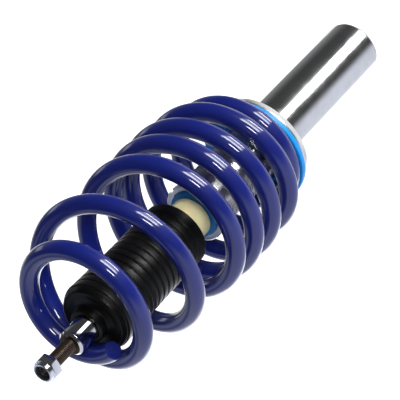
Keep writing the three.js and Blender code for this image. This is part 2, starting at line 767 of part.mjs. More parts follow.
function springSeat() {
  const bottom = FLANGE_TOP + GAP;
  return turned([
    [SEAT_BORE, bottom],
    [SEAT_RADIUS - SEAT_CHAMFER, bottom],
    [SEAT_RADIUS, bottom + SEAT_CHAMFER],
    [SEAT_RADIUS, SEAT_FLOOR - SEAT_RIM_CHAMFER],
    [SEAT_RADIUS - SEAT_RIM_CHAMFER, SEAT_FLOOR],
    [SEAT_HUB_RADIUS, SEAT_FLOOR],
    [SEAT_HUB_RADIUS - SEAT_CHAMFER, SEAT_HUB_TOP],
    [SEAT_BORE, SEAT_HUB_TOP],
  ]);
}

// ---------------------------------------------------------------- coil spring

function coilSpring() {
  const turnLength = 2 * Math.PI * stationValue('radius', SPRING_SPLIT_TURN);
  const gapInTurns = FIT / turnLength;
  return springWire(SPRING_SPLIT_TURN + gapInTurns, SPRING_LAST_TURN);
}

function springTopCoil() {
  return springWire(SPRING_FIRST_TURN, SPRING_SPLIT_TURN);
}

// ---------------------------------------------------------------- lock nut

function topNut() {
  const flatRadius = NUT_ACROSS_FLATS / 2;
  const chamfered = turned([
    [0, NUT_BOTTOM],
    [flatRadius, NUT_BOTTOM],
    [NUT_CHAMFER_RADIUS, NUT_BOTTOM + NUT_BOTTOM_CHAMFER_HEIGHT],
    [NUT_CHAMFER_RADIUS, NUT_HEX_TOP - NUT_CHAMFER_HEIGHT],
    [NUT_SHOULDER_RADIUS, NUT_HEX_TOP],
    [NUT_COLLAR_RADIUS, NUT_HEX_TOP],
    [NUT_COLLAR_RADIUS, NUT_TOP - NUT_COLLAR_CHAMFER],
    [NUT_COLLAR_RADIUS - NUT_COLLAR_CHAMFER, NUT_TOP],
    [0, NUT_TOP],
  ], SMALL_SIDES);
  const flats = hexBar(NUT_ACROSS_FLATS, NUT_BOTTOM - OVERCUT, NUT_TOP + OVERCUT);
  const bore = turned([
    [0, NUT_BOTTOM - OVERCUT],
    [NUT_BORE, NUT_BOTTOM - OVERCUT],
    [NUT_BORE, NYLON_BOTTOM - GAP],
    [NYLON_RADIUS + GAP, NYLON_BOTTOM - GAP],
    [NYLON_RADIUS + GAP, NYLON_TOP + GAP],
    [NUT_MOUTH_RADIUS, NYLON_TOP + GAP],
    [NUT_MOUTH_RADIUS, NUT_TOP + OVERCUT],
    [0, NUT_TOP + OVERCUT],
  ], SMALL_SIDES);
  return cut(common(chamfered, flats), [bore]);
}

function nutNylonRing() {
  return ring(NUT_BORE, NYLON_RADIUS, NYLON_BOTTOM, NYLON_TOP, SMALL_SIDES);
}

// ---------------------------------------------------------------- assembly

/** A group of named meshes that move together. */
function bodyGroup(pieces) {
  const group = new THREE.Group();
  for (const [name, geometry, material] of pieces) {
    const mesh = new THREE.Mesh(geometry, material);
    mesh.name = name;
    group.add(mesh);
  }
  return group;
}

const housing = bodyGroup([
  ['housing_tube', housingTube(), zincTube],
  ['base_plug', basePlug(), zincTube],
  ['pressure_tube', pressureTube(), darkSteel],
  ['foot_valve_body', footValveBody(), sinteredIron],
  ['foot_valve_disc', footValveDisc(), springSteel],
  ['foot_valve_rivet', footValveRivet(), darkSteel],
  ['rod_guide', rodGuide(), sinteredIron],
  ['guide_bush', guideBush(), bronzePtfe],
  ['rod_seal', rodSeal(), blackNitrile],
  ['gland_nut', glandNut(), zincRing],
  ['gland_cap', glandCap(), bluePlastic],
  ['bump_stop', bumpStop(), creamFoam],
]);

const pistonBandGroup = bodyGroup([
  ['piston_band', pistonBand(), bronzePtfe],
]);

const rod = bodyGroup([
  ['piston_rod', pistonRod(), hardChrome],
  ['piston', piston(), sinteredIron],
  ['rebound_shims', reboundShims(), springSteel],
  ['compression_shims', compressionShims(), springSteel],
  ['piston_nut', pistonNut(), darkSteel],
  ['rebound_stop_ring', reboundStopRing(), darkSteel],
  ['rebound_buffer', reboundBuffer(), blackNitrile],
  ['dust_boot', dustBoot(), blackRubber],
]);

const lockNut = bodyGroup([
  ['top_nut', topNut(), zincRing],
  ['nut_nylon_ring', nutNylonRing(), whiteNylon],
]);

const perch = bodyGroup([
  ['perch_collar', perchCollar(), zincRing],
  ['perch_set_screw', perchSetScrew(), darkSteel],
  ['spring_seat', springSeat(), azurePlastic],
]);

const spring = bodyGroup([
  ['coil_spring', coilSpring(), bluePowderCoat],
  ['spring_top_coil', springTopCoil(), bluePowderCoat],
]);

const strut = new THREE.Group();
strut.add(housing, pistonBandGroup, rod, lockNut, perch, spring);

export default strut;
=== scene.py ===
import math

import bmesh
import bpy
import numpy as np
from mathutils import Matrix, Vector


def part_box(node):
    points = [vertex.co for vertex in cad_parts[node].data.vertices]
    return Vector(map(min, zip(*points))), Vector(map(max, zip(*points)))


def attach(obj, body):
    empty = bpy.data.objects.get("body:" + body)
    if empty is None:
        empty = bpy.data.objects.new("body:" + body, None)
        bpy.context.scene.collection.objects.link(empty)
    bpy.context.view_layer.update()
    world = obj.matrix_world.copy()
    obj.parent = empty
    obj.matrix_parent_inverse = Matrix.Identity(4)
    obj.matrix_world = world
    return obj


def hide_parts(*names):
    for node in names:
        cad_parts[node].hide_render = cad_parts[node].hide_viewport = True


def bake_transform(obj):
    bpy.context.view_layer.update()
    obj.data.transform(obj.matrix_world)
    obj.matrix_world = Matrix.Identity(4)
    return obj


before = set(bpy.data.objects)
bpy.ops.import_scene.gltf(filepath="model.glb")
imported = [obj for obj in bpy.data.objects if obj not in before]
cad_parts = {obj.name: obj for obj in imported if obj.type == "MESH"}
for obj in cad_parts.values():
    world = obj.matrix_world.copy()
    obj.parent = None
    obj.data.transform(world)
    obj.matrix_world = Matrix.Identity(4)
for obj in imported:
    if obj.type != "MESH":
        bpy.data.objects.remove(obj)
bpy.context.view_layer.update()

# Everything is named and worked out in millimetres and becomes metres when a mesh is made.
MM = 0.001
SIDES = 128  # segments round a turned piece
SMALL_SIDES = 64  # the same for small rings
FILLET_STEPS = 4  # segments in a rounded corner
LONGEST_FILLET = 0.48  # share of an outline's edge that one fillet may take
ARC_STEPS = 8  # segments in a round stretch of an outline
THREAD_ROWS = 12  # rows of points in one turn of a thread
SHARP_ANGLE = 35  # degrees; edges that turn further are shaded hard
MOULDED_SHARP_ANGLE = 60  # the same for foam and rubber
MILLED_ROUNDING = 0.25  # width of the rounding on milled edges
MILLED_ANGLE = 40  # degrees; edges that turn further are rounded
CUT_MARGIN = 1  # how far a cutting shape reaches past the metal

# ---------------------------------------------------------------- sizes taken from the frame


def heights(node):
    """Lowest and highest point of a CAD node, in millimetres."""
    low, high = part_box(node)
    return low.z / MM, high.z / MM


def outer_radius(node):
    low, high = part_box(node)
    return max(high.x - low.x, high.y - low.y) / 2 / MM


TUBE_RADIUS = outer_radius("housing_tube")
TUBE_TOP = heights("housing_tube")[1]
PLUG_TOP = heights("base_plug")[1]
COLLAR_BOTTOM, COLLAR_TOP = heights("perch_collar")
COLLAR_RADIUS = outer_radius("perch_collar")
SEAT_BOTTOM, SEAT_TOP = heights("spring_seat")
SEAT_RADIUS = outer_radius("spring_seat")
GLAND_BOTTOM, GLAND_TOP = heights("gland_nut")
GLAND_RADIUS = outer_radius("gland_nut")
CAP_BOTTOM, CAP_TOP = heights("gland_cap")
CAP_RADIUS = outer_radius("gland_cap")
STOP_BOTTOM, STOP_TOP = heights("bump_stop")
STOP_RADIUS = outer_radius("bump_stop")
BOOT_BOTTOM, BOOT_TOP = heights("dust_boot")
BOOT_RADIUS = outer_radius("dust_boot")
ROD_BOTTOM, STUD_TOP = heights("piston_rod")
ROD_RADIUS = outer_radius("piston_rod")
NUT_BOTTOM, NUT_TOP = heights("top_nut")
NYLON_BOTTOM, NYLON_TOP = heights("nut_nylon_ring")
NYLON_RADIUS = outer_radius("nut_nylon_ring")
SCREW_LOW, SCREW_HIGH = (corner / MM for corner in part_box("perch_set_screw"))

# ---------------------------------------------------------------- sizes of the finer detail

TUBE_WALL = 2.5
TUBE_EDGE = 5  # rounding of the spun bottom edge
TUBE_CHAMFER_WIDTH = 0.8
TUBE_CHAMFER_HEIGHT = 0.4
THREAD_START = 140
THREAD_PITCH = 2
THREAD_DEPTH = 1.15
PLUG_RADIUS = 19.6
PLUG_SHOULDER = 5.3
PLUG_RIM_WIDTH = 0.7
PLUG_FACE_RADIUS = 16.6  # the flat middle, with a groove between it and the rim
PLUG_GROOVE_DEPTH = 0.6
PLUG_GROOVE_SLOPE = 0.8
MARK_RADIUS = 1.6  # centre mark in the flat middle
MARK_DEPTH = 0.9

COLLAR_BORE = 25.3
COLLAR_SLEEVE = 30
COLLAR_CHAMFER = 0.8
COLLAR_NOTCHES = 8
NOTCH_WIDTH = 7
NOTCH_DEPTH = 2.6
NOTCH_HEIGHT = 8
FLANGE_BOTTOM = 155.2
FLANGE_BACK = 46.2
FLANGE_CHAMFER_WIDTH = 0.6
FLANGE_CHAMFER_HEIGHT = 1
SEAT_BORE = 25.8
SEAT_FLOOR = 167.2
SEAT_HUB = 30.5
SEAT_HUB_TAPER = 0.6
SCREW_GAP = 0.3  # between the lock screw and its hole
SCREW_SIDES = 48
SOCKET_FLATS = 2.5
SOCKET_DEPTH = 2
SCREW_MIDDLE = (SCREW_LOW.z + SCREW_HIGH.z) / 2

GLAND_BORE = 18
GLAND_FLANGE = 250.3
GLAND_FLOOR = 1
GLAND_CHAMFER = 1
GLAND_NOTCHES = 6
GLAND_NOTCH_WIDTH = 5
GLAND_NOTCH_DEPTH = 1.6
CAP_GAP = 0.3
ROD_CLEARANCE = 0.4

STOP_WAIST_DEPTH = 2.4
STOP_BODY_TOP = STOP_BOTTOM + 23
STOP_WAIST = STOP_BOTTOM + 26
STOP_BEAD = STOP_BOTTOM + 31
STOP_BEAD_RADIUS = STOP_RADIUS - 0.4
STOP_NOSE = STOP_TOP - 4
STOP_NOSE_TAPER = 2

BOOT_FOOT_RADIUS = 29  # the boot widens towards its shoulder
BOOT_FLARE = 2.5  # power of the height that it widens with
BOOT_INNER_ROWS = 12
BOOT_WALL = 1.6
BOOT_SHOULDER = 395
BOOT_BEND = BOOT_SHOULDER + 1.8  # two bends lead from the top rib over to the rim
BOOT_BEND_RADIUS = BOOT_RADIUS - 0.9
BOOT_SECOND_BEND = BOOT_SHOULDER + 3.2
BOOT_SECOND_BEND_RADIUS = BOOT_RADIUS - 1.6
BOOT_RIDGE = 401.5  # height of the rim round the dished top face
BOOT_RIDGE_RADIUS = 27
BOOT_DISH = 400.6
BOOT_DISH_RADIUS = 21
BOOT_NECK = 15
BOOT_NECK_FOOT = 403
BOOT_RIBS = 14
RIB_PITCH = 7.27
RIB_START = 294.1  # height of the lowest valley
RIB_DEPTH = 1.15
RIB_STEPS = 24  # rows of points in one rib
RIB_LEAD_IN = 8  # rows below the lowest valley
VALLEY_SHARPNESS = 3

ROD_SIDES = 96
ROD_SHOULDER = 431.7
ROD_CHAMFER = 1.8
TENON_TOP = 159.4
TENON_RADIUS = 5
TENON_CHAMFER = 0.8
STUD_RADIUS = 6
STUD_PITCH = 1.5
STUD_THREAD_DEPTH = 0.65
STUD_RUNOUT = 0.4  # plain length between the shoulder and the thread
STUD_CHAMFER_WIDTH = 1
STUD_CHAMFER_HEIGHT = 0.8

NUT_FLATS = 19
NUT_HEX_TOP = 464.3
NUT_CORNER = 11.1
NUT_FOOT_CHAMFER = 0.6
NUT_HEX_CHAMFER = 0.9
NUT_SHOULDER = 9.1
NUT_COLLAR = 8.6
NUT_COLLAR_FOOT = NUT_HEX_TOP + 0.1
NUT_COLLAR_TOP = NUT_TOP - 0.3  # where the collar is crimped inwards over the locking ring
NUT_BORE = 6.2
NUT_BORE_CHAMFER_WIDTH = 1
NUT_BORE_CHAMFER_HEIGHT = 0.8
NUT_MOUTH = 6.8
NUT_MOUTH_CHAMFER = 0.5
NYLON_GAP = 0.3  # between the locking ring and its groove

WIRE_RADIUS = 8
WIRE_SIDES = 32
WIRE_STEPS = 72  # rings in one turn
WIRE_CHAMFER = 0.7
START_ANGLE = 220  # degrees from +X where turn 0 would be
FIRST_TURN = 0.14
LAST_TURN = 7.25
SPLIT_TURN = 1  # above this turn a ring's share of the closing is 1, as at the spring's top end
DEAD_TURN = 6.5  # below this turn the wire lies on the seat
CLOSING_SAMPLES = 400
FOOT = (4.5, 3.5)  # where the spring's own axis starts, beside the strut's axis
LEAN = (0.045, -0.07)  # sideways shift of that axis for each millimetre of height
SEATED_HEIGHT = 175.5  # the wire's centre where it lies on the seat
FREE_HEIGHT = 200  # from here upwards the turns lie square to the leaning axis
# Turn counted from the top, height, coil radius
STATIONS = (
    (0, 408.5, 42.5),
    (0.5, 408.5, 47),
    (1, 403.5, 54),
    (1.5, 374.5, 62.5),
    (2, 345.5, 63.5),
    (2.5, 310.5, 62),
    (3, 285.5, 63.5),
    (3.5, 272, 62),
    (4, 258, 63.5),
    (4.5, 246.5, 63),
    (5, 229.5, 62),
    (5.5, 218, 61.5),
    (6, 198, 59),
    (6.25, 192, 57.5),
    (6.5, 184.5, 55.5),
    (6.75, 177, 51.5),
    (7, 175.6, 47.5),
    (7.25, SEATED_HEIGHT, 41),
)
STATION_HEIGHT, STATION_RADIUS = 1, 2  # columns of the stations

# ---------------------------------------------------------------- mesh helpers


def finish_mesh(mesh, sharp_angle=SHARP_ANGLE):
    """Faces out, smooth shading, and hard edges above the angle."""
    merge_distance = 1e-7  # metres
    work = bmesh.new()
    work.from_mesh(mesh)
    bmesh.ops.remove_doubles(work, verts=work.verts, dist=merge_distance)
    bmesh.ops.recalc_face_normals(work, faces=work.faces)
    work.to_mesh(mesh)
    work.free()
    mesh.polygons.foreach_set("use_smooth", [True] * len(mesh.polygons))
    mesh.set_sharp_from_angle(angle=math.radians(sharp_angle))
    mesh.update()


def new_piece(name, vertices, faces, sharp_angle=SHARP_ANGLE):
    """An object from vertices in millimetres."""
    mesh = bpy.data.meshes.new(name)
    mesh.from_pydata([Vector(vertex) * MM for vertex in vertices], [], faces)
    finish_mesh(mesh, sharp_angle)
    piece = bpy.data.objects.new(name, mesh)
    bpy.context.scene.collection.objects.link(piece)
    return piece


def arc(centre_radius, centre_height, radius, start, end):
    """Points of a round stretch of an outline, angles in degrees from outwards towards up."""
    points = []
    for i in range(ARC_STEPS + 1):
        angle = math.radians(start + (end - start) * i / ARC_STEPS)
        out = radius * math.cos(angle)
        up = radius * math.sin(angle)
        points.append((centre_radius + out, centre_height + up))
    return points


def rounded(outline):
    """Rounds each corner of (radius, height, fillet) in an outline of (radius, height) points."""
    result = []
    for i, point in enumerate(outline):
        corner = Vector(point[:2])
        if len(point) == 2:
            result.append(tuple(corner))
            continue
        back = Vector(outline[i - 1][:2]) - corner
        ahead = Vector(outline[(i + 1) % len(outline)][:2]) - corner
        reach = point[2] / math.tan(back.angle(ahead) / 2)
        reach = min(reach, LONGEST_FILLET * back.length, LONGEST_FILLET * ahead.length)
        start = corner + back.normalized() * reach
        end = corner + ahead.normalized() * reach
        for k in range(FILLET_STEPS + 1):
            t = k / FILLET_STEPS
            result.append(tuple(start * (1 - t) ** 2 + corner * 2 * t * (1 - t) + end * t ** 2))
    return result


def turned(name, outline, sides=SIDES, radius_at=None, sharp_angle=SHARP_ANGLE):
    """Revolves an outline round Z. It is a loop, or it starts and ends on the axis.
    radius_at(radius, height, angle) may move each point in or out."""
    points = rounded(outline)
    on_axis = points[0][0] == 0
    vertices, rings = [], []
    for radius, height in points:
        if radius == 0:
            rings.append([len(vertices)])
            vertices.append((0, 0, height))
            continue
        rings.append(range(len(vertices), len(vertices) + sides))
        for k in range(sides):
            angle = 2 * math.pi * k / sides
            here = radius_at(radius, height, angle) if radius_at else radius
            vertices.append((here * math.cos(angle), here * math.sin(angle), height))
    pairs = list(zip(rings, rings[1:]))
    if not on_axis:
        pairs.append((rings[-1], rings[0]))
    faces = []
    for lower, upper in pairs:
        for k in range(sides):
            n = (k + 1) % sides
            if len(lower) == 1:
                faces.append((lower[0], upper[n], upper[k]))
            elif len(upper) == 1:
                faces.append((lower[k], lower[n], upper[0]))
            else:
                faces.append((lower[k], lower[n], upper[n], upper[k]))
    return new_piece(name, vertices, faces, sharp_angle)


def thread_rows(radius, low, high, pitch):
    """Closely spaced outline points that a thread is cut into."""
    rows = round((high - low) / pitch * THREAD_ROWS)
    return [(radius, low + (high - low) * i / rows) for i in range(rows + 1)]


def thread_cutter(crest, low, high, pitch, depth):
    """A right-hand thread for turned(): it cuts the points that lie at the crest radius.
    Crest, groove and flanks are each a quarter of the pitch wide, and it fades at both ends."""
    same_radius = 1e-6

    def radius_at(radius, height, angle):
        if abs(radius - crest) > same_radius or not low < height < high:
            return radius
        phase = (height / pitch - angle / (2 * math.pi)) % 1
        groove = min(max(abs(4 * phase - 2) - 0.5, 0), 1)
        fade = min(1, (height - low) / pitch, (high - height) / pitch)
        return radius - depth * fade * groove

    return radius_at


def prism(name, outline, low, high):
    """An upright prism over a flat outline of (x, y) points."""
    count = len(outline)
    vertices = [(x, y, low) for x, y in outline] + [(x, y, high) for x, y in outline]
    faces = [tuple(range(count)), tuple(range(count, 2 * count))]
    for k in range(count):
        n = (k + 1) % count
        faces.append((k, n, n + count, k + count))
    return new_piece(name, vertices, faces)


def hexagon(across_flats):
    """Outline of a hexagon with a corner towards -Y."""
    radius = across_flats / 2 / math.cos(math.pi / 6)
    angles = [math.pi / 3 * k + math.pi / 6 for k in range(6)]
    return [(radius * math.cos(angle), radius * math.sin(angle)) for angle in angles]


def notch_boxes(count, width, floor_radius, low, high, first_angle=0.0):
    """Boxes spaced round the axis that cut notches inwards to the floor radius."""
    reach = 20
    boxes = []
    for k in range(count):
        corners = [
            (floor_radius, -width / 2),
            (floor_radius + reach, -width / 2),
            (floor_radius + reach, width / 2),
            (floor_radius, width / 2),
        ]
        box = prism("notch", corners, low, high)
        angle = math.radians(first_angle + 360 * k / count)
        box.data.transform(Matrix.Rotation(angle, 4, "Z"))
        boxes.append(box)
    return boxes


def apply_modifiers(piece):
    """Replaces the piece's mesh with what its modifiers make of it."""
    bpy.context.view_layer.update()
    evaluated = piece.evaluated_get(bpy.context.evaluated_depsgraph_get())
    mesh = bpy.data.meshes.new_from_object(evaluated)
    piece.modifiers.clear()
    piece.data = mesh
    finish_mesh(mesh)


def combine(piece, tools, operation):
    """Cuts or joins the piece with each tool, which is then removed."""
    for tool in tools:
        modifier = piece.modifiers.new("combine", "BOOLEAN")
        modifier.operation = operation
        modifier.solver = "EXACT"
        modifier.object = tool
    apply_modifiers(piece)
    for tool in tools:
        bpy.data.objects.remove(tool)
    return piece


def soften_edges(piece):
    """Rounds the milled edges."""
    modifier = piece.modifiers.new("edges", "BEVEL")
    modifier.width = MILLED_ROUNDING * MM
    modifier.segments = 3
    modifier.limit_method = "ANGLE"
    modifier.angle_limit = math.radians(MILLED_ANGLE)
    apply_modifiers(piece)
    return piece


# ---------------------------------------------------------------- damper tube


def make_tube():
    inner = TUBE_RADIUS - TUBE_WALL
    edge_centre = TUBE_RADIUS - TUBE_EDGE
    outline = [
        *arc(edge_centre, TUBE_EDGE, TUBE_EDGE, -90, 0),
        *thread_rows(TUBE_RADIUS, THREAD_START, TUBE_TOP - TUBE_CHAMFER_HEIGHT, THREAD_PITCH),
        (TUBE_RADIUS - TUBE_CHAMFER_WIDTH, TUBE_TOP),
        (inner, TUBE_TOP, 0.3),
        *arc(edge_centre, TUBE_EDGE, TUBE_EDGE - TUBE_WALL, 0, -90),
    ]
    cutter = thread_cutter(TUBE_RADIUS, THREAD_START, TUBE_TOP, THREAD_PITCH, THREAD_DEPTH)
    return turned("damper_tube", outline, radius_at=cutter)


def make_bottom_disc():
    """Pressed disc with a raised rim and a centre mark, welded into the tube's spun end."""
    skirt = TUBE_RADIUS - TUBE_WALL - ROD_CLEARANCE
    return turned("bottom_disc", [
        (0, MARK_DEPTH),
        (MARK_RADIUS, 0, 0.5),
        (PLUG_FACE_RADIUS, 0, 0.3),
        (PLUG_FACE_RADIUS + PLUG_GROOVE_SLOPE, PLUG_GROOVE_DEPTH, 0.4),
        (PLUG_RADIUS - PLUG_RIM_WIDTH, PLUG_GROOVE_DEPTH, 0.4),
        (PLUG_RADIUS, 0, 0.2),
        (PLUG_RADIUS, PLUG_SHOULDER),
        (skirt, PLUG_SHOULDER, 0.4),
        (skirt, PLUG_TOP, 0.4),
        (0, PLUG_TOP),
    ])


# ---------------------------------------------------------------- spring perch


def make_collar():
    body = turned("threaded_collar", [
        (COLLAR_BORE + COLLAR_CHAMFER, COLLAR_BOTTOM),
        (COLLAR_SLEEVE - COLLAR_CHAMFER, COLLAR_BOTTOM, 0.3),
        (COLLAR_SLEEVE, COLLAR_BOTTOM + COLLAR_CHAMFER, 0.5),
        (COLLAR_SLEEVE, FLANGE_BOTTOM, 1.2),
        (FLANGE_BACK, FLANGE_BOTTOM, 0.6),
        (COLLAR_RADIUS, COLLAR_TOP - FLANGE_CHAMFER_HEIGHT, 0.6),
        (COLLAR_RADIUS - FLANGE_CHAMFER_WIDTH, COLLAR_TOP, 0.3),
        (COLLAR_BORE + COLLAR_CHAMFER, COLLAR_TOP),
        (COLLAR_BORE, COLLAR_TOP - COLLAR_CHAMFER),
        (COLLAR_BORE, COLLAR_BOTTOM + COLLAR_CHAMFER),
    ])
    floor_radius = COLLAR_SLEEVE - NOTCH_DEPTH
    low = COLLAR_BOTTOM - CUT_MARGIN
    high = COLLAR_BOTTOM + NOTCH_HEIGHT
    tools = notch_boxes(COLLAR_NOTCHES, NOTCH_WIDTH, floor_radius, low, high, 180 / COLLAR_NOTCHES)
    inner = COLLAR_BORE - CUT_MARGIN
    outer = COLLAR_SLEEVE + CUT_MARGIN
    tools.append(lock_screw_shape("screw_hole", SCREW_GAP, inner, outer))
    combine(body, tools, "DIFFERENCE")
    return soften_edges(body)


def lay_along_screw(piece):
    """Turns a piece made round Z to lie along +Y at the lock screw's height."""
    lift = Matrix.Translation((0, 0, SCREW_MIDDLE * MM))
    piece.data.transform(lift @ Matrix.Rotation(-math.pi / 2, 4, "X"))
    return piece


def lock_screw_shape(name, gap, inner, outer):
    """A short bar at the lock screw's place, wider by the gap, between two distances from the axis."""
    radius = (SCREW_HIGH.x - SCREW_LOW.x) / 2 + gap
    outline = [(0, inner), (radius, inner, 0.3), (radius, outer, 0.3), (0, outer)]
    return lay_along_screw(turned(name, outline, SCREW_SIDES))


def make_lock_screw():
    """Grub screw with a hexagon socket."""
    screw = lock_screw_shape("lock_screw", 0, SCREW_LOW.y, SCREW_HIGH.y)
    low = SCREW_HIGH.y - SOCKET_DEPTH
    high = SCREW_HIGH.y + CUT_MARGIN
    socket = lay_along_screw(prism("socket", hexagon(SOCKET_FLATS), low, high))
    return combine(screw, [socket], "DIFFERENCE")


def make_seat():
    return turned("azure_seat", [
        (SEAT_BORE, SEAT_BOTTOM),
        (SEAT_RADIUS, SEAT_BOTTOM, 0.6),
        (SEAT_RADIUS, SEAT_FLOOR, 1.2),
        (SEAT_HUB, SEAT_FLOOR, 0.5),
        (SEAT_HUB - SEAT_HUB_TAPER, SEAT_TOP, 0.5),
        (SEAT_BORE, SEAT_TOP, 0.4),
    ])


# ---------------------------------------------------------------- coil spring


def smooth_step(t):
    """Rises from 0 to 1 as t does, level at both ends."""
    return 3 * t ** 2 - 2 * t ** 3


def station_value(column, turn):
    """Smooth value through the stations at a turn, level at both ends."""
    last = len(STATIONS) - 1

    def slope(i):
        if i in (0, last):
            return 0
        rise = STATIONS[i + 1][column] - STATIONS[i - 1][column]
        return rise / (STATIONS[i + 1][0] - STATIONS[i - 1][0])

    i = 0
    while i < last - 1 and turn > STATIONS[i + 1][0]:
        i += 1
    span = STATIONS[i + 1][0] - STATIONS[i][0]
    t = (turn - STATIONS[i][0]) / span
    start, end = STATIONS[i][column], STATIONS[i + 1][column]
    pull = (t ** 3 - 2 * t ** 2 + t) * span * slope(i) + (t ** 3 - t ** 2) * span * slope(i + 1)
    return start + (end - start) * smooth_step(t) + pull


def spring_point(turn):
    """Centre of the wire at a turn. The free turns tip over with the spring's leaning axis."""
    height = station_value(STATION_HEIGHT, turn)
    radius = station_value(STATION_RADIUS, turn)
    angle = math.radians(START_ANGLE - 360 * turn)
    x = radius * math.cos(angle)
    y = radius * math.sin(angle)
    rise = height - SEATED_HEIGHT
    free_share = smooth_step(min(max(rise / (FREE_HEIGHT - SEATED_HEIGHT), 0), 1))
    return Vector((
        FOOT[0] + x + LEAN[0] * rise,
        FOOT[1] + y + LEAN[1] * rise,
        height - free_share * (LEAN[0] * x + LEAN[1] * y),
    ))


def make_spring():
    """One smooth wire from end to end, its ends cut square with a small chamfer."""
    steps = round((LAST_TURN - FIRST_TURN) * WIRE_STEPS)
    turns = [FIRST_TURN + (LAST_TURN - FIRST_TURN) * i / steps for i in range(steps + 1)]
    sections = [(turn, WIRE_RADIUS, 0) for turn in turns]
    sections.insert(0, (FIRST_TURN, WIRE_RADIUS - WIRE_CHAMFER, -WIRE_CHAMFER))
    sections.append((LAST_TURN, WIRE_RADIUS - WIRE_CHAMFER, WIRE_CHAMFER))
    tiny = 1e-3
    vertices, ring_turns = [], []
    for turn, radius, shift in sections:
        tangent = (spring_point(turn + tiny) - spring_point(turn - tiny)).normalized()
        centre = spring_point(turn) + tangent * shift
        side = Vector((0, 0, 1)).cross(tangent).normalized()
        up = tangent.cross(side)
        for j in range(WIRE_SIDES):
            angle = 2 * math.pi * j / WIRE_SIDES
            vertices.append(centre + side * radius * math.cos(angle) + up * radius * math.sin(angle))
        ring_turns.append(turn)
    faces = []
    for i in range(len(sections) - 1):
        for j in range(WIRE_SIDES):
            n = (j + 1) % WIRE_SIDES
            a, b = i * WIRE_SIDES + j, i * WIRE_SIDES + n
            faces.append((a, b, b + WIRE_SIDES, a + WIRE_SIDES))
    faces.append(tuple(range(WIRE_SIDES)))
    last_ring = (len(sections) - 1) * WIRE_SIDES
    faces.append(tuple(range(last_ring, last_ring + WIRE_SIDES)))
    return new_piece("spring_wire", vertices, faces), ring_turns


def compression_shares(turns):
    """How far along the spring's closing each turn moves: 0 on the seat, 1 at the top end.
    A coil closes in proportion to the free gap below it, so touching coils stay apart."""
    samples = np.linspace(SPLIT_TURN, DEAD_TURN, CLOSING_SAMPLES)
    upper = np.array([station_value(STATION_HEIGHT, turn) for turn in samples])
    lower = np.array([station_value(STATION_HEIGHT, min(turn + 1, LAST_TURN)) for turn in samples])
    gaps = np.maximum(upper - lower - 2 * WIRE_RADIUS, 0)
    closed = np.concatenate(([0], np.cumsum(gaps[:-1] + gaps[1:])))
    return np.interp(turns, samples, 1 - closed / closed[-1])


def blend_spring(spring, ring_turns):
    """Bakes the wire's placement into its mesh and works out each ring's share of the closing; the wire is
    not bent.
    """
    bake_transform(spring)
    shares = np.repeat(compression_shares(ring_turns), WIRE_SIDES)


# ---------------------------------------------------------------- gland, cap and bump stop


def make_gland():
    skirt = TUBE_RADIUS - TUBE_WALL - ROD_CLEARANCE
    recess = CAP_RADIUS + CAP_GAP
    floor = GLAND_FLANGE + GLAND_FLOOR
    body = turned("gland_ring", [
        (GLAND_BORE, GLAND_BOTTOM),
        (skirt, GLAND_BOTTOM, 0.4),
        (skirt, GLAND_FLANGE),
        (GLAND_RADIUS, GLAND_FLANGE, 0.4),
        (GLAND_RADIUS, GLAND_TOP - GLAND_CHAMFER, 0.5),
        (GLAND_RADIUS - GLAND_CHAMFER, GLAND_TOP, 0.5),
        (recess, GLAND_TOP, 0.4),
        (recess, floor),
        (GLAND_BORE, floor),
    ])
    floor_radius = GLAND_RADIUS - GLAND_NOTCH_DEPTH
    low = GLAND_FLANGE - CUT_MARGIN
    high = GLAND_TOP + CUT_MARGIN
    notches = notch_boxes(GLAND_NOTCHES, GLAND_NOTCH_WIDTH, floor_radius, low, high)
    combine(body, notches, "DIFFERENCE")
    return soften_edges(body)


def make_gland_cover():
    bore = ROD_RADIUS + ROD_CLEARANCE
    return turned("gland_cover", [
        (bore, CAP_BOTTOM),
        (CAP_RADIUS, CAP_BOTTOM, 0.4),
        (CAP_RADIUS, CAP_TOP, 1.5),
        (bore, CAP_TOP, 0.4),
    ])


def make_foam_stop():
    """A long body, a waist, a rounded bead and a tapering nose."""
    bore = ROD_RADIUS + ROD_CLEARANCE
    waist = STOP_RADIUS - STOP_WAIST_DEPTH
    return turned("foam_stop", [
        (bore, STOP_BOTTOM, 0.6),
        (STOP_RADIUS, STOP_BOTTOM, 2.5),
        (STOP_RADIUS, STOP_BODY_TOP, 3),
        (waist, STOP_WAIST, 2.5),
        (STOP_BEAD_RADIUS, STOP_BEAD, 3),
        (waist, STOP_NOSE, 3),
        (waist - STOP_NOSE_TAPER, STOP_TOP, 2),
        (bore, STOP_TOP, 1),
    ], sharp_angle=MOULDED_SHARP_ANGLE)


# ---------------------------------------------------------------- dust boot


def boot_radius(height):
    """Radius of the boot's side before the valleys between its ribs are taken off."""
    share = (height - BOOT_BOTTOM) / (BOOT_SHOULDER - BOOT_BOTTOM)
    widening = min(max(share, 0), 1) ** BOOT_FLARE
    return BOOT_FOOT_RADIUS + (BOOT_RADIUS - BOOT_FOOT_RADIUS) * widening


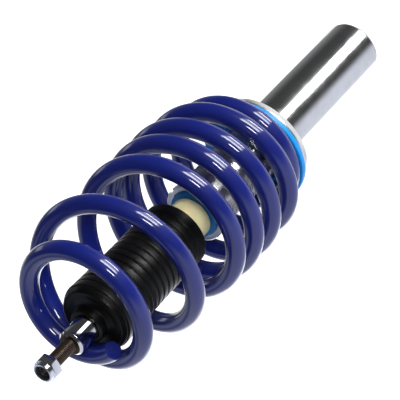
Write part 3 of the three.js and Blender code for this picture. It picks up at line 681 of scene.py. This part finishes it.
def make_boot():
    """Wide rounded ribs with narrow valleys, a dished top face and a neck round the rod."""
    ribs = []
    for i in range(-RIB_LEAD_IN, RIB_STEPS * BOOT_RIBS + 1):
        height = RIB_START + RIB_PITCH * i / RIB_STEPS
        valley = (1 - abs(math.sin(math.pi * i / RIB_STEPS))) ** VALLEY_SHARPNESS
        ribs.append((boot_radius(height) - RIB_DEPTH * valley, height))
    inner_side = []
    for k in range(BOOT_INNER_ROWS, 0, -1):
        height = BOOT_BOTTOM + (BOOT_SHOULDER - BOOT_BOTTOM) * k / BOOT_INNER_ROWS
        inner_side.append((boot_radius(height) - BOOT_WALL, height))
    bore = ROD_RADIUS + ROD_CLEARANCE
    return turned("ribbed_boot", [
        (BOOT_FOOT_RADIUS - BOOT_WALL, BOOT_BOTTOM, 0.5),
        (BOOT_FOOT_RADIUS, BOOT_BOTTOM, 0.7),
        *ribs,
        (BOOT_BEND_RADIUS, BOOT_BEND, 0.8),
        (BOOT_SECOND_BEND_RADIUS, BOOT_SECOND_BEND, 2),
        (BOOT_RIDGE_RADIUS + 0.4, BOOT_RIDGE + 0.1, 2.2),
        (BOOT_DISH_RADIUS, BOOT_DISH, 9),
        (BOOT_NECK + 0.2, BOOT_NECK_FOOT - 1, 2.5),
        (BOOT_NECK, BOOT_TOP, 1.4),
        (bore, BOOT_TOP, 0.6),
        (bore, BOOT_NECK_FOOT - BOOT_WALL, 0.6),
        (BOOT_DISH_RADIUS, BOOT_DISH - BOOT_WALL, 3),
        (BOOT_RIDGE_RADIUS - BOOT_WALL / 2, BOOT_RIDGE - BOOT_WALL, 1.5),
        *inner_side,
    ], sharp_angle=MOULDED_SHARP_ANGLE)


# ---------------------------------------------------------------- piston rod and lock nut


def make_rod():
    thread_low = ROD_SHOULDER + STUD_RUNOUT
    thread_high = STUD_TOP - STUD_CHAMFER_HEIGHT
    outline = [
        (0, ROD_BOTTOM),
        (TENON_RADIUS, ROD_BOTTOM, 0.6),
        (TENON_RADIUS, TENON_TOP),
        (ROD_RADIUS - TENON_CHAMFER, TENON_TOP),
        (ROD_RADIUS, TENON_TOP + TENON_CHAMFER),
        (ROD_RADIUS, ROD_SHOULDER - ROD_CHAMFER, 0.4),
        (ROD_RADIUS - ROD_CHAMFER, ROD_SHOULDER, 0.25),
        (STUD_RADIUS, ROD_SHOULDER, 0.2),
        *thread_rows(STUD_RADIUS, thread_low, thread_high, STUD_PITCH),
        (STUD_RADIUS - STUD_CHAMFER_WIDTH, STUD_TOP, 0.2),
        (0, STUD_TOP),
    ]
    cutter = thread_cutter(STUD_RADIUS, thread_low, thread_high, STUD_PITCH, STUD_THREAD_DEPTH)
    return turned("chrome_rod", outline, ROD_SIDES, cutter)


def make_nut():
    """Hexagon with both ends chamfered, a round collar for the locking ring, and a bore."""
    flat = NUT_FLATS / 2
    body = turned("hex_nut", [
        (0, NUT_BOTTOM),
        (flat, NUT_BOTTOM, 0.2),
        (NUT_CORNER, NUT_BOTTOM + NUT_FOOT_CHAMFER),
        (NUT_CORNER, NUT_HEX_TOP - NUT_HEX_CHAMFER),
        (NUT_SHOULDER, NUT_HEX_TOP, 0.4),
        (NUT_COLLAR, NUT_COLLAR_FOOT, 0.3),
        (NUT_COLLAR, NUT_COLLAR_TOP, 1.3),
        (NUT_MOUTH + NUT_MOUTH_CHAMFER, NUT_TOP, 0.5),
        (0, NUT_TOP),
    ])
    below = NUT_BOTTOM - CUT_MARGIN
    above = NUT_TOP + CUT_MARGIN
    combine(body, [prism("flats", hexagon(NUT_FLATS), below, above)], "INTERSECT")
    groove = NYLON_RADIUS + NYLON_GAP
    groove_bottom = NYLON_BOTTOM - NYLON_GAP
    groove_top = NYLON_TOP + NYLON_GAP
    bore = turned("bore", [
        (0, below),
        (NUT_BORE + NUT_BORE_CHAMFER_WIDTH, below),
        (NUT_BORE, NUT_BOTTOM + NUT_BORE_CHAMFER_HEIGHT),
        (NUT_BORE, groove_bottom),
        (groove, groove_bottom),
        (groove, groove_top),
        (NUT_MOUTH, groove_top),
        (NUT_MOUTH, above),
        (0, above),
    ], SMALL_SIDES)
    combine(body, [bore], "DIFFERENCE")
    return soften_edges(body)


def make_nylon_ring():
    return turned("nylon_ring", [
        (NUT_BORE, NYLON_BOTTOM, 0.4),
        (NYLON_RADIUS, NYLON_BOTTOM, 0.3),
        (NYLON_RADIUS, NYLON_TOP, 0.3),
        (NUT_BORE, NYLON_TOP, 0.4),
    ], SMALL_SIDES)


# ---------------------------------------------------------------- materials

MIX_BELOW, MIX_ABOVE = 6, 7  # colour inputs of a Mix node
MIX_RESULT = 2  # its colour output


class Material:
    """A node material built step by step round one Principled shader."""

    def __init__(self, name, colour, roughness, metallic=0.0, **sockets):
        self.material = bpy.data.materials.new(name)
        self.material.use_nodes = True
        self.nodes = self.material.node_tree.nodes
        self.links = self.material.node_tree.links
        self.shader = self.nodes["Principled BSDF"]
        self.shader.inputs["Base Color"].default_value = (*colour, 1)
        self.shader.inputs["Roughness"].default_value = roughness
        self.shader.inputs["Metallic"].default_value = metallic
        for socket, value in sockets.items():
            self.shader.inputs[socket.replace("_", " ")].default_value = value
        self.colour = None
        self.normal = None
        self.coordinates = self.nodes.new("ShaderNodeTexCoord").outputs["Object"]

    def put(self, target, value):
        """Links another node's output to the input, or sets the input to a plain value."""
        if isinstance(value, bpy.types.NodeSocket):
            self.links.new(value, target)
        else:
            target.default_value = value

    def stretched(self, scale):
        """Object coordinates scaled apart in X, Y and Z."""
        mapping = self.nodes.new("ShaderNodeMapping")
        mapping.inputs["Scale"].default_value = scale
        self.links.new(self.coordinates, mapping.inputs["Vector"])
        return mapping.outputs["Vector"]

    def noise(self, size, detail=3.0, roughness=0.5, stretch=(1, 1, 1)):
        """Cloudy pattern with features of about size millimetres."""
        texture = self.nodes.new("ShaderNodeTexNoise")
        texture.inputs["Scale"].default_value = 1 / (size * MM)
        texture.inputs["Detail"].default_value = detail
        texture.inputs["Roughness"].default_value = roughness
        self.links.new(self.stretched(stretch), texture.inputs["Vector"])
        return texture.outputs["Fac"]

    def cells(self, size):
        """Distance from the nearest of points spread about size millimetres apart."""
        texture = self.nodes.new("ShaderNodeTexVoronoi")
        texture.inputs["Scale"].default_value = 1 / (size * MM)
        self.links.new(self.coordinates, texture.inputs["Vector"])
        return texture.outputs["Distance"]

    def edges(self):
        """Convexity of the surface: about 0.5 on flat areas, more along raised edges."""
        return self.nodes.new("ShaderNodeNewGeometry").outputs["Pointiness"]

    def scaled(self, value, low, high, to_low, to_high):
        """Maps low..high to to_low..to_high and holds it there at both ends."""
        node = self.nodes.new("ShaderNodeMapRange")
        self.put(node.inputs["Value"], value)
        node.inputs["From Min"].default_value = low
        node.inputs["From Max"].default_value = high
        node.inputs["To Min"].default_value = to_low
        node.inputs["To Max"].default_value = to_high
        return node.outputs["Result"]

    def tint(self, factor, colour):
        """Mixes a colour over what is there, where the factor is high."""
        mix = self.nodes.new("ShaderNodeMix")
        mix.data_type = "RGBA"
        below = self.colour or tuple(self.shader.inputs["Base Color"].default_value)
        self.put(mix.inputs["Factor"], factor)
        self.put(mix.inputs[MIX_BELOW], below)
        self.put(mix.inputs[MIX_ABOVE], (*colour, 1))
        self.colour = mix.outputs[MIX_RESULT]
        self.links.new(self.colour, self.shader.inputs["Base Color"])

    def vary_roughness(self, value):
        self.put(self.shader.inputs["Roughness"], value)

    def bump(self, height, depth):
        """Relief of about depth millimetres."""
        node = self.nodes.new("ShaderNodeBump")
        node.inputs["Strength"].default_value = 1
        node.inputs["Distance"].default_value = depth * MM
        self.put(node.inputs["Height"], height)
        if self.normal:
            self.links.new(self.normal, node.inputs["Normal"])
        self.normal = node.outputs["Normal"]
        self.links.new(self.normal, self.shader.inputs["Normal"])


def zinc(name, colour, roughness, mark_depth):
    """Bright zinc plating with faint turning marks, clouding and rubbed edges."""
    made = Material(name, colour, roughness, 1.0)
    marks = made.noise(0.5, 2, 0.6, (0.03, 0.03, 1))
    clouds = made.noise(14, 4, 0.6)
    specks = made.noise(0.7, 2, 0.5)
    made.tint(made.scaled(clouds, 0.45, 0.75, 0, 0.5), tuple(c * 0.82 for c in colour))
    made.tint(made.scaled(specks, 0.66, 0.8, 0, 0.35), (0.35, 0.34, 0.33))
    made.tint(made.scaled(made.edges(), 0.53, 0.6, 0, 0.8), (0.86, 0.87, 0.88))
    made.vary_roughness(made.scaled(clouds, 0.3, 0.7, roughness * 0.8, roughness * 1.35))
    made.bump(marks, mark_depth)
    made.bump(specks, 0.004)
    return made.material


def powder_coat():
    """Deep blue powder coat under a clear gloss, with faint orange peel."""
    made = Material(
        "spring_blue",
        (0.008, 0.017, 0.2),
        0.4,
        Coat_Weight=1.0,
        Coat_Roughness=0.02,
        Coat_IOR=1.6,
        Specular_IOR_Level=0.15,
    )
    peel = made.noise(1.6, 2, 0.4)
    flake = made.noise(0.25, 1, 0.5)
    clouds = made.noise(30, 2, 0.5)
    made.tint(made.scaled(clouds, 0.4, 0.7, 0, 0.5), (0.008, 0.014, 0.15))
    made.tint(made.scaled(flake, 0.68, 0.8, 0, 0.3), (0.04, 0.06, 0.3))
    made.bump(peel, 0.02)
    made.links.new(made.normal, made.shader.inputs["Coat Normal"])
    return made.material


def chrome():
    """Hard chrome, polished round the rod, with a faint haze."""
    made = Material("hard_chrome", (0.72, 0.73, 0.75), 0.06, 1.0)
    marks = made.noise(0.4, 2, 0.6, (0.02, 0.02, 1))
    haze = made.noise(9, 3, 0.5)
    made.vary_roughness(made.scaled(haze, 0.35, 0.75, 0.05, 0.11))
    made.tint(made.scaled(haze, 0.5, 0.8, 0, 0.3), (0.62, 0.63, 0.66))
    made.bump(marks, 0.0015)
    return made.material


def oxide():
    """Brown heat-treated steel on the rod's shoulder and stud."""
    made = Material("brown_oxide", (0.085, 0.058, 0.04), 0.42, 0.85)
    clouds = made.noise(2.5, 4, 0.65)
    made.tint(made.scaled(clouds, 0.42, 0.7, 0, 0.9), (0.035, 0.03, 0.028))
    made.tint(made.scaled(made.edges(), 0.52, 0.58, 0, 0.8), (0.3, 0.24, 0.2))
    made.vary_roughness(made.scaled(clouds, 0.3, 0.7, 0.3, 0.55))
    made.bump(made.noise(0.3, 2, 0.6), 0.01)
    return made.material


def plastic(name, colour, roughness, dark):
    """Moulded plastic: fine grain, faint flow clouds and paler rubbed edges."""
    made = Material(name, colour, roughness)
    clouds = made.noise(12, 3, 0.55)
    grain = made.noise(0.35, 2, 0.5)
    made.tint(made.scaled(clouds, 0.4, 0.7, 0, 0.5), dark)
    made.tint(made.scaled(made.edges(), 0.54, 0.62, 0, 0.4), tuple(min(1, c * 1.5 + 0.04) for c in colour))
    made.vary_roughness(made.scaled(clouds, 0.3, 0.7, roughness * 0.85, roughness * 1.2))
    made.bump(grain, 0.012)
    return made.material


def foam():
    """Cream microcellular foam with open pores."""
    made = Material("bump_foam", (0.93, 0.85, 0.48), 0.75, Subsurface_Weight=0.15, Subsurface_Scale=0.002)
    pores = made.cells(0.7)
    clouds = made.noise(8, 3, 0.55)
    made.tint(made.scaled(clouds, 0.4, 0.7, 0, 0.6), (0.86, 0.74, 0.36))
    made.tint(made.scaled(pores, 0.0, 0.25, 0.5, 0), (0.5, 0.4, 0.2))
    made.bump(pores, 0.08)
    return made.material


def rubber(name, colour, roughness):
    """Moulded rubber with fine grain, a little pale dust, and a painted highlight that makes raised edges
    and rib crests paler.
    """
    made = Material(name, colour, roughness, Specular_IOR_Level=0.2)
    grain = made.noise(0.4, 2, 0.55)
    dust = made.noise(7, 4, 0.6)
    made.tint(made.scaled(dust, 0.5, 0.8, 0, 0.5), tuple(c * 2 + 0.002 for c in colour))
    # Painted highlight: raised edges and rib crests are made paler.
    made.tint(made.scaled(made.edges(), 0.53, 0.6, 0, 0.4), tuple(c * 3 + 0.006 for c in colour))
    made.vary_roughness(made.scaled(dust, 0.3, 0.7, roughness * 0.85, roughness * 1.2))
    made.bump(grain, 0.02)
    return made.material


def steel(name, colour, roughness):
    """Machined or sintered steel for the parts inside."""
    made = Material(name, colour, roughness, 1.0)
    grain = made.noise(0.5, 3, 0.6)
    clouds = made.noise(6, 3, 0.5)
    made.tint(made.scaled(clouds, 0.4, 0.7, 0, 0.5), tuple(c * 0.7 for c in colour))
    made.vary_roughness(made.scaled(grain, 0.3, 0.7, roughness * 0.8, roughness * 1.2))
    made.bump(grain, 0.01)
    return made.material


def paint(piece, material):
    piece.data.materials.clear()
    piece.data.materials.append(material)


def paint_rod(rod, chrome_material, oxide_material):
    """Chrome up to the outer chamfer, brown oxide on the shoulder's face and the stud."""
    paint(rod, chrome_material)
    rod.data.materials.append(oxide_material)
    just_below_shoulder = (ROD_SHOULDER - 0.1) * MM
    for face in rod.data.polygons:
        if face.center.z > just_below_shoulder:
            face.material_index = 1


# ---------------------------------------------------------------- assembly


def place(piece, body, material, slot, *nodes):
    """The piece moves with a body, stands for CAD nodes and is painted with the material; the slot is not
    used.
    Without a material it keeps what it was painted with."""
    if material:
        paint(piece, material)
    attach(piece, body)
    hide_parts(*nodes)


def build_object():
    zinc_tube = zinc("zinc_tube", (0.78, 0.79, 0.8), 0.17, 0.01)
    zinc_ring = zinc("zinc_ring", (0.9, 0.91, 0.92), 0.26, 0.015)
    zinc_nut = zinc("zinc_nut", (0.8, 0.84, 0.9), 0.14, 0.01)
    azure = plastic("seat_azure", (0.008, 0.34, 0.9), 0.35, (0.006, 0.26, 0.78))
    cap_blue = plastic("gland_cap_blue", (0.008, 0.22, 0.62), 0.38, (0.006, 0.18, 0.5))
    nylon = plastic("nylon", (0.03, 0.035, 0.05), 0.45, (0.02, 0.025, 0.035))
    boot_black = rubber("boot_rubber", (0.005, 0.005, 0.005), 0.34)

    place(make_tube(), "housing", zinc_tube, "zinc_tube", "housing_tube")
    place(make_bottom_disc(), "housing", zinc_tube, "zinc_tube", "base_plug")
    place(make_gland(), "housing", zinc_ring, "zinc_ring", "gland_nut")
    place(make_gland_cover(), "housing", cap_blue, "gland_cap_blue", "gland_cap")
    place(make_foam_stop(), "housing", foam(), "bump_foam", "bump_stop")
    place(make_collar(), "perch_ring", zinc_ring, "zinc_ring", "perch_collar")
    dark_screw = steel("dark_screw", (0.1, 0.1, 0.11), 0.4)
    place(make_lock_screw(), "perch_ring", dark_screw, "dark_screw", "perch_set_screw")
    place(make_seat(), "perch_carriage", azure, "seat_azure", "spring_seat")
    place(make_boot(), "rod", boot_black, "boot_rubber", "dust_boot")
    rod = make_rod()
    paint_rod(rod, chrome(), oxide())
    place(rod, "rod", None, "hard_chrome", "piston_rod")
    place(make_nut(), "lock_nut", zinc_nut, "zinc_nut", "top_nut")
    place(make_nylon_ring(), "lock_nut", nylon, "nylon", "nut_nylon_ring")

    spring, ring_turns = make_spring()
    paint(spring, powder_coat())
    blend_spring(spring, ring_turns)
    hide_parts("coil_spring", "spring_top_coil")


def paint_inner_parts():
    """The CAD parts inside the tube keep their shape and get finishes of their own."""
    finishes = {
        steel("plain_steel", (0.38, 0.39, 0.4), 0.35): (
            "pressure_tube", "foot_valve_rivet", "piston_nut", "rebound_stop_ring"
        ),
        steel("sintered_iron", (0.2, 0.2, 0.21), 0.6): ("foot_valve_body", "rod_guide", "piston"),
        steel("spring_steel", (0.45, 0.46, 0.48), 0.25): (
            "foot_valve_disc", "rebound_shims", "compression_shims"
        ),
        steel("bearing_bronze", (0.45, 0.28, 0.14), 0.4): ("guide_bush",),
        plastic("ptfe_band", (0.12, 0.08, 0.05), 0.45, (0.09, 0.06, 0.04)): ("piston_band",),
        rubber("nitrile_rubber", (0.012, 0.012, 0.012), 0.5): ("rod_seal", "rebound_buffer"),
    }
    for material, nodes in finishes.items():
        for node in nodes:
            paint(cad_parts[node], material)


# ---------------------------------------------------------------- camera, floor and light

CAMERA_LENS = 234
CAMERA_SENSOR = 36
CAMERA_PLACE = Vector((4.5, -1641.9, 1555.7)) * MM
CAMERA_RIGHT = Vector((-0.72297, -0.43173, -0.53938))  # directions of the frame's sides
CAMERA_UP = Vector((0.69088, -0.45178, -0.56443))

FLOOR_HALF_WIDTH = 6000
FLOOR_DROP = 0.5  # below the strut's foot

WHITE_STRENGTH = 1.05  # of the white that the camera sees behind the object
FLOOR_GLOW = 1.1

EVERYWHERE = (-400, 400)  # past every angle on both sides
# Azimuths, elevations, softness of the edges (all in degrees), strength, colour if not white
PANELS = (
    (EVERYWHERE, EVERYWHERE, 1, 0.05),  # a little light from all round
    ((-90, -64), (-50, 5), 3, 3),  # window in front
    ((-91, -64), (-50, -42), 1.5, 20),  # its bright lower edge
    ((-91, -64), (-13, 4), 2, 10),  # its bright upper part
    ((-92, -77), (30, 38), 1.5, 26),  # lamp above it
    ((54, 95), (-60, 0), 4, 1.0),  # white backdrop, up to +Y
    ((-275, -236), (-60, 0), 5, 0.75),  # the backdrop beyond +Y
    ((-250, -218), (-46, -12), 8, 1.2),  # its bright end
    ((-262, -140), (-60, 60), 16, 0.75, (0.94, 0.97, 1.1)),  # wide soft light from the -X side
    ((20, 60), (-60, 0), 30, 0.25),  # its faint counterpart on the +X side
    ((58, 86), (8, 56), 8, 0.6, (0.85, 0.95, 1.3)),  # bluish light over the backdrop
    ((27, 36), (-14, 16), 4, 1.5),  # narrow upright light
    (EVERYWHERE, (-95, -62), 6, 0.8),  # the table
)


def make_camera():
    """A long lens from above and in front, rolled so that the strut lies along the frame's diagonal."""
    data = bpy.data.cameras.new("camera")
    data.lens = CAMERA_LENS
    data.sensor_width = CAMERA_SENSOR
    camera = bpy.data.objects.new("camera", data)
    bpy.context.scene.collection.objects.link(camera)
    back = CAMERA_RIGHT.cross(CAMERA_UP)
    turn = Matrix((CAMERA_RIGHT, CAMERA_UP, back)).transposed().to_4x4()
    camera.matrix_world = Matrix.Translation(CAMERA_PLACE) @ turn
    bpy.context.scene.camera = camera


def make_floor():
    """A plain pale floor. It takes no part in reflections, so that the metal mirrors the soft lights."""
    half = FLOOR_HALF_WIDTH * MM
    mesh = bpy.data.meshes.new("floor")
    corners = [(-half, -half, 0), (half, -half, 0), (half, half, 0), (-half, half, 0)]
    mesh.from_pydata(corners, [], [(0, 1, 2, 3)])
    floor = bpy.data.objects.new("floor", mesh)
    bpy.context.scene.collection.objects.link(floor)
    floor.location.z = -FLOOR_DROP * MM
    made = Material("floor_paint", (0.9, 0.9, 0.9), 0.9)
    made.tint(made.scaled(made.noise(80, 3), 0.4, 0.7, 0, 0.3), (0.93, 0.93, 0.93))
    made.shader.inputs["Emission Color"].default_value = (1, 1, 1, 1)
    made.shader.inputs["Emission Strength"].default_value = FLOOR_GLOW
    paint(floor, made.material)
    floor.visible_glossy = False
    floor.visible_diffuse = False
    floor.visible_shadow = False


class Studio:
    """A world of dark surroundings with soft lit panels, each given by the directions it covers.
    Azimuths are degrees round +Z from +X, counted from -270 to 90."""

    def __init__(self):
        world = bpy.data.worlds.new("studio")
        bpy.context.scene.world = world
        world.use_nodes = True
        self.nodes = world.node_tree.nodes
        self.links = world.node_tree.links
        direction = self.nodes.new("ShaderNodeSeparateXYZ")
        coordinates = self.nodes.new("ShaderNodeTexCoord")
        self.links.new(coordinates.outputs["Generated"], direction.inputs[0])
        x, y, z = direction.outputs
        turn = self.math("DEGREES", self.math("ARCTAN2", y, x))
        wrapped = self.math("FLOORED_MODULO", self.math("ADD", turn, 270), 360)
        self.azimuth = self.math("SUBTRACT", wrapped, 270)
        self.elevation = self.math("DEGREES", self.math("ARCSINE", z))
        self.light = None

    def math(self, operation, *values):
        """One step of arithmetic on sockets and plain numbers."""
        node = self.nodes.new("ShaderNodeMath")
        node.operation = operation
        for socket, value in zip(node.inputs, values):
            if isinstance(value, bpy.types.NodeSocket):
                self.links.new(value, socket)
            else:
                socket.default_value = value
        return node.outputs[0]

    def between(self, value, low, high, softness):
        """1 between two angles, falling off smoothly over the softness at both ends."""
        result = None
        for start, end in ((low - softness, low + softness), (high + softness, high - softness)):
            node = self.nodes.new("ShaderNodeMapRange")
            node.interpolation_type = "SMOOTHSTEP"
            self.links.new(value, node.inputs["Value"])
            node.inputs["From Min"].default_value = start
            node.inputs["From Max"].default_value = end
            result = self.math("MULTIPLY", result, node.outputs[0]) if result else node.outputs[0]
        return result

    def panel(self, azimuths, elevations, softness, strength, colour=(1, 1, 1)):
        """Adds the light of one panel to what is there."""
        wide = self.between(self.azimuth, *azimuths, softness)
        tall = self.between(self.elevation, *elevations, softness)
        amount = self.math("MULTIPLY", self.math("MULTIPLY", wide, tall), strength)
        tinted = self.nodes.new("ShaderNodeVectorMath")
        tinted.operation = "SCALE"
        tinted.inputs[0].default_value = colour
        self.links.new(amount, tinted.inputs["Scale"])
        if self.light is None:
            self.light = tinted.outputs[0]
            return
        total = self.nodes.new("ShaderNodeVectorMath")
        total.operation = "ADD"
        self.links.new(self.light, total.inputs[0])
        self.links.new(tinted.outputs[0], total.inputs[1])
        self.light = total.outputs[0]

    def finish(self):
        """The panels light the object, and the camera itself sees plain white behind it."""
        lit = self.nodes["Background"]
        self.links.new(self.light, lit.inputs["Color"])
        white = self.nodes.new("ShaderNodeBackground")
        white.inputs["Color"].default_value = (1, 1, 1, 1)
        white.inputs["Strength"].default_value = WHITE_STRENGTH
        path = self.nodes.new("ShaderNodeLightPath")
        mix = self.nodes.new("ShaderNodeMixShader")
        self.links.new(path.outputs["Is Camera Ray"], mix.inputs["Fac"])
        self.links.new(lit.outputs["Background"], mix.inputs[1])
        self.links.new(white.outputs["Background"], mix.inputs[2])
        self.links.new(mix.outputs["Shader"], self.nodes["World Output"].inputs["Surface"])
        bpy.context.scene.view_settings.view_transform = "Standard"


def make_studio():
    studio = Studio()
    for panel in PANELS:
        studio.panel(*panel)
    studio.finish()


make_camera()
make_floor()
make_studio()
build_object()
paint_inner_parts()
